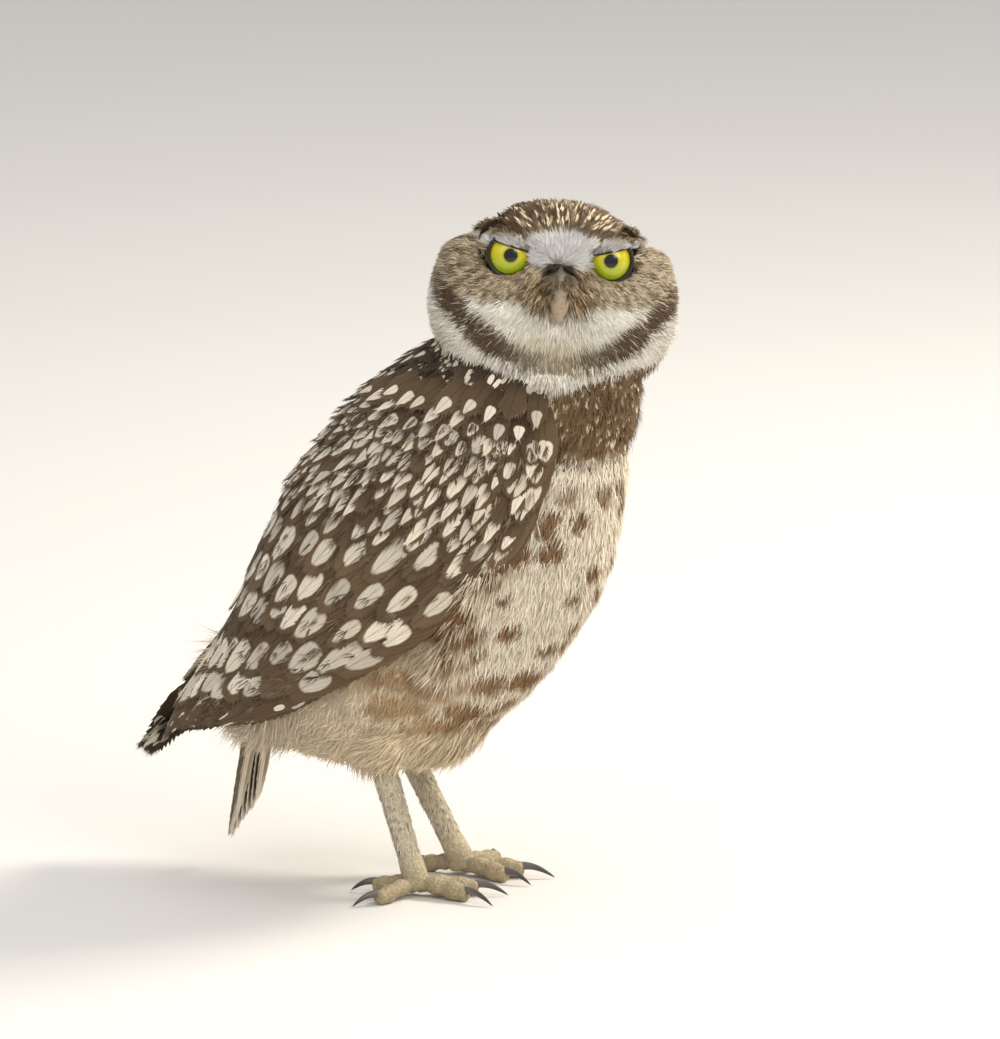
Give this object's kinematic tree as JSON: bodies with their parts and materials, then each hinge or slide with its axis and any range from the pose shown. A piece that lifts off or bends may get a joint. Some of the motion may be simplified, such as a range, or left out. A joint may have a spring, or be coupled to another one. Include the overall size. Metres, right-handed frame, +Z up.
{
  "type": "burrowing owl",
  "caption": "Life-size museum-type model of a burrowing owl that stands on both feet with folded wings, its head turned over its right shoulder.",
  "frame": {"origin": "on the floor, under the middle of the whole model's box", "axes": "+Z up, +X the way the body and toes point, +Y the bird's left"},
  "size_m": [0.1848, 0.093, 0.2372],
  "materials": {
    "plumage_brown": "matt",
    "plumage_pale": "matt",
    "plumage_head": "matt",
    "eye_yellow": "gloss",
    "beak_horn": "satin",
    "claw_dark": "satin",
    "toe_skin": "matt"
  },
  "bodies": {
    "root": {"head": "plumage_head", "neck": "plumage_pale", "torso": "plumage_pale", "tail": "plumage_brown", "wing_left": "plumage_brown", "wing_right": "plumage_brown", "thigh_left": "plumage_pale", "thigh_right": "plumage_pale", "shank_left": "plumage_pale", "shank_right": "plumage_pale", "foot_left": "toe_skin", "foot_right": "toe_skin", "eye_left": "eye_yellow", "eye_right": "eye_yellow", "beak_upper": "beak_horn", "beak_lower": "beak_horn", "claw_left_hind": "claw_dark", "claw_left_inner": "claw_dark", "claw_left_middle": "claw_dark", "claw_left_outer": "claw_dark", "claw_right_hind": "claw_dark", "claw_right_inner": "claw_dark", "claw_right_middle": "claw_dark", "claw_right_outer": "claw_dark"}
  },
  "joints": []
}
